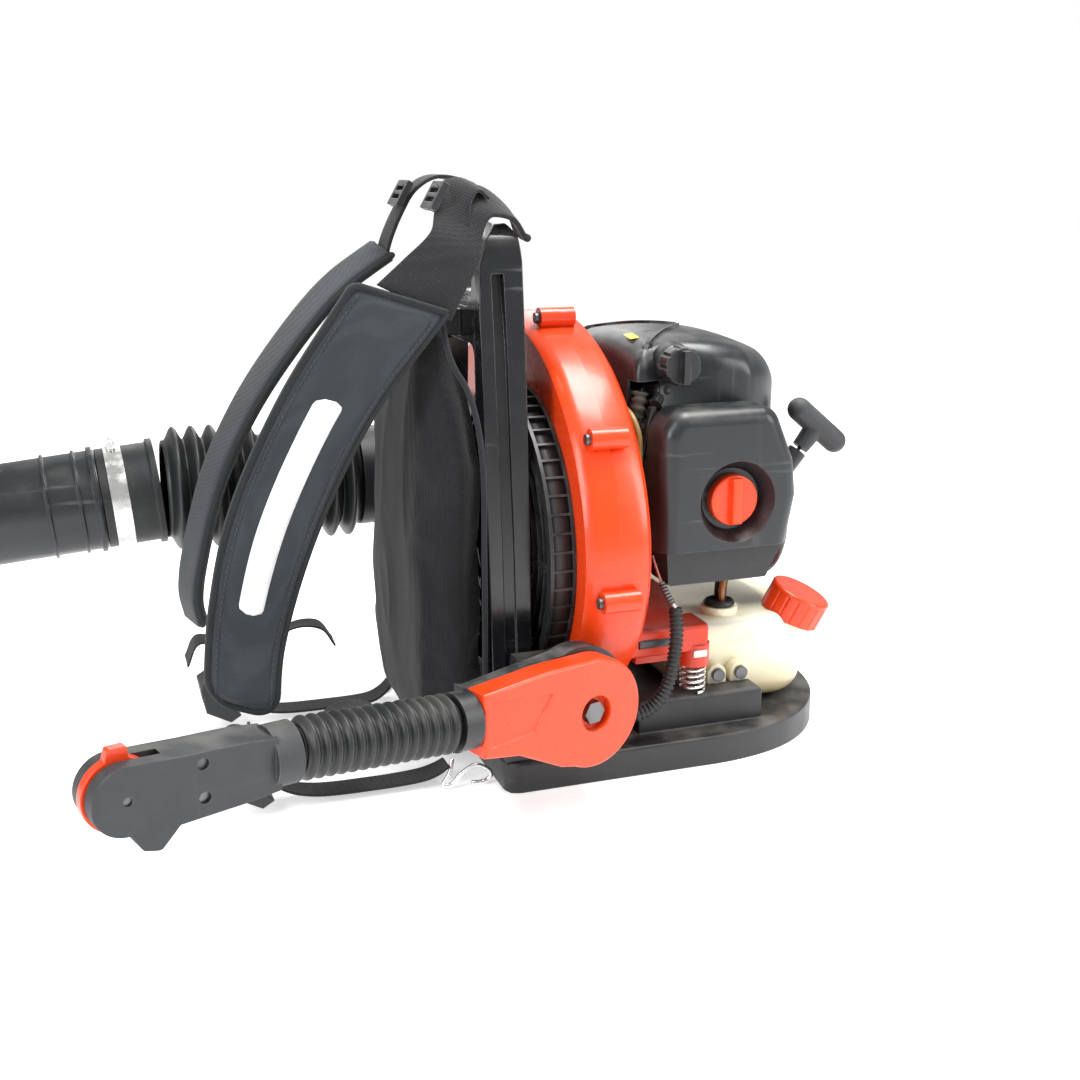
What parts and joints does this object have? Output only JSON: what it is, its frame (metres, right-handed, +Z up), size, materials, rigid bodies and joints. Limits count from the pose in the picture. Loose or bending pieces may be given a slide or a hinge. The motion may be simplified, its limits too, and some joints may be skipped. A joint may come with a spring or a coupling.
{
  "type": "backpack leaf blower",
  "caption": "Engine-driven blower on an upright back frame with padded shoulder straps, a hip throttle arm and a long tube on a flexible hose.",
  "frame": {"origin": "on the floor under the stand, on its centre line and in line with the back of the fan casing seam", "axes": "+Z up, +Y towards the engine, -Y towards the operator, +X to the operator's left"},
  "size_m": [0.5638, 1.4302, 0.5085],
  "materials": {
    "black_plastic": "satin moulded",
    "frame_plastic": "gloss moulded",
    "cover_plastic": "semi gloss moulded",
    "grip_plastic": "matte textured",
    "fan_plastic": "moulded",
    "tube_plastic": "satin",
    "orange_plastic": "gloss moulded",
    "orange_metal": "painted casting",
    "tank_plastic": "translucent, blow moulded",
    "pad_fabric": "coated cloth over foam",
    "strap_fabric": "woven cloth over foam",
    "webbing": "woven webbing",
    "filter_felt": "felt",
    "black_rubber": "moulded rubber",
    "fuel_hose": "smooth hose",
    "tan_hose": "smooth hose",
    "cast_alloy": "die cast",
    "dark_steel": "dark steel",
    "plated_steel": "zinc plated"
  },
  "bodies": {
    "machine": {"air_cleaner_case": "black_plastic", "air_cleaner_cover": "cover_plastic", "air_filter": "filter_felt", "back_frame": "frame_plastic", "back_pad": "pad_fabric", "base_stand": "black_plastic", "breather_hose": "tan_hose", "carburetor": "cast_alloy", "crankcase": "cast_alloy", "cylinder": "cast_alloy", "engine_cover": "cover_plastic", "engine_mount": "orange_metal", "fan_case_front": "orange_plastic", "fan_case_rear": "orange_plastic", "front_isolator": "black_rubber", "fuel_lines": "fuel_hose", "fuel_tank": "tank_plastic", "hose_rear": "black_rubber", "ignition_lead": "black_rubber", "intake_guard": "black_plastic", "isolator_springs": "plated_steel", "lower_webbing": "webbing", "machine_screws": "dark_steel", "muffler": "dark_steel", "outlet_elbow": "black_plastic", "plug_boot": "black_rubber", "shoulder_strap_left": "strap_fabric", "shoulder_strap_right": "strap_fabric", "spark_plug": "plated_steel", "starter_housing": "black_plastic", "starter_rope": "webbing", "strap_buckles": "black_plastic", "strap_hooks": "plated_steel", "throttle_bracket": "black_plastic", "throttle_cable": "black_rubber", "top_webbing": "webbing"},
    "hose_middle": {"hose_front": "black_rubber"},
    "hose_end": {"hose_cuff": "black_rubber", "hose_clamp": "plated_steel"},
    "blower_tube": {"swivel_pipe": "tube_plastic", "straight_pipe": "tube_plastic", "nozzle": "tube_plastic"},
    "crank": {"crankshaft": "dark_steel", "impeller": "fan_plastic", "flywheel": "cast_alloy"},
    "pulley": {"starter_pulley": "fan_plastic"},
    "piston_set": {"piston": "cast_alloy", "connecting_rod": "dark_steel"},
    "pull_handle": {"starter_handle": "grip_plastic"},
    "cap_seal": {"cap_gasket": "black_rubber"},
    "cap": {"fuel_cap": "orange_plastic"},
    "cleaner_knob": {"air_cleaner_knob": "orange_plastic"},
    "cover_knob": {"cover_wing_knob": "black_plastic"},
    "arm": {"throttle_arm": "black_plastic", "hub_cover": "orange_plastic", "arm_sleeve": "black_rubber"},
    "grip": {"grip_left": "grip_plastic", "grip_right": "grip_plastic", "grip_fasteners": "dark_steel"},
    "lever": {"throttle_lever": "orange_plastic"}
  },
  "joints": [
    {"name": "hose_swing", "type": "hinge", "parent": "machine", "child": "hose_middle", "pos_m": [-0.175, -0.196, 0.2156], "axis": [0, 0, 1], "range_deg": [-30, 1], "deforming": ["hose_rear"]},
    {"name": "hose_tilt", "type": "hinge", "parent": "hose_middle", "child": "hose_end", "pos_m": [-0.175, -0.288, 0.2156], "axis": [1, 0, 0], "range_deg": [-30, 6], "deforming": ["hose_front"]},
    {"name": "tube_turn", "type": "hinge", "parent": "hose_end", "child": "blower_tube", "pos_m": [-0.175, -0.39278, 0.21055], "axis": [0, -0.9962, -0.0872], "range_deg": [-90, 90]},
    {"name": "throttle_lift", "type": "hinge", "parent": "machine", "child": "arm", "pos_m": [0.205, -0.039, 0.09], "axis": [0.9511, 0.309, 0], "range_deg": [-70, 8]},
    {"name": "grip_flex", "type": "hinge", "parent": "arm", "child": "grip", "pos_m": [0.24719, -0.23033, 0.1148], "axis": [0, 0, 1], "range_deg": [-15, 15], "deforming": ["arm_sleeve"]},
    {"name": "lever_turn", "type": "hinge", "parent": "grip", "child": "lever", "pos_m": [0.30621, -0.41198, 0.124], "axis": [0.9511, 0.309, 0], "range_deg": [-55, 0]},
    {"name": "cleaner_knob_turn", "type": "hinge", "parent": "machine", "child": "cleaner_knob", "pos_m": [0.13, 0.114, 0.238], "axis": [1, 0, 0], "range_deg": [0, 360]},
    {"name": "cover_knob_turn", "type": "hinge", "parent": "machine", "child": "cover_knob", "pos_m": [0.096, 0.078, 0.35], "axis": [1, 0, 0], "range_deg": [0, 360]},
    {"name": "cap_lift", "type": "slide", "parent": "machine", "child": "cap_seal", "axis": [0.2193, 0.3589, 0.9072], "range_m": [0, 0.04]},
    {"name": "cap_turn", "type": "hinge", "parent": "cap_seal", "child": "cap", "pos_m": [0.064, 0.219, 0.113], "axis": [0.2193, 0.3589, 0.9072], "range_deg": [0, 270]},
    {"name": "starter_pull", "type": "slide", "parent": "machine", "child": "pull_handle", "axis": [0, 0.6402, 0.7682], "range_m": [0, 0.6], "stiffness_N_per_m": 12, "springref_m": -0.4, "deforming": ["starter_rope"]},
    {"name": "pulley_turn", "type": "hinge", "parent": "machine", "child": "pulley", "pos_m": [0, 0.153, 0.19], "axis": [0, 1, 0], "range_deg": [0, 1100]},
    {"name": "crank_turn", "type": "hinge", "parent": "machine", "child": "crank", "pos_m": [0, 0.072, 0.19], "axis": [0, 1, 0], "continuous": true},
    {"name": "piston_stroke", "type": "slide", "parent": "machine", "child": "piston_set", "axis": [0, 0, 1], "range_m": [0, 0.032]}
  ],
  "couplings": [
    {"joint": "pulley_turn", "follows": "starter_pull", "rad_per_m": 30.3}
  ]
}
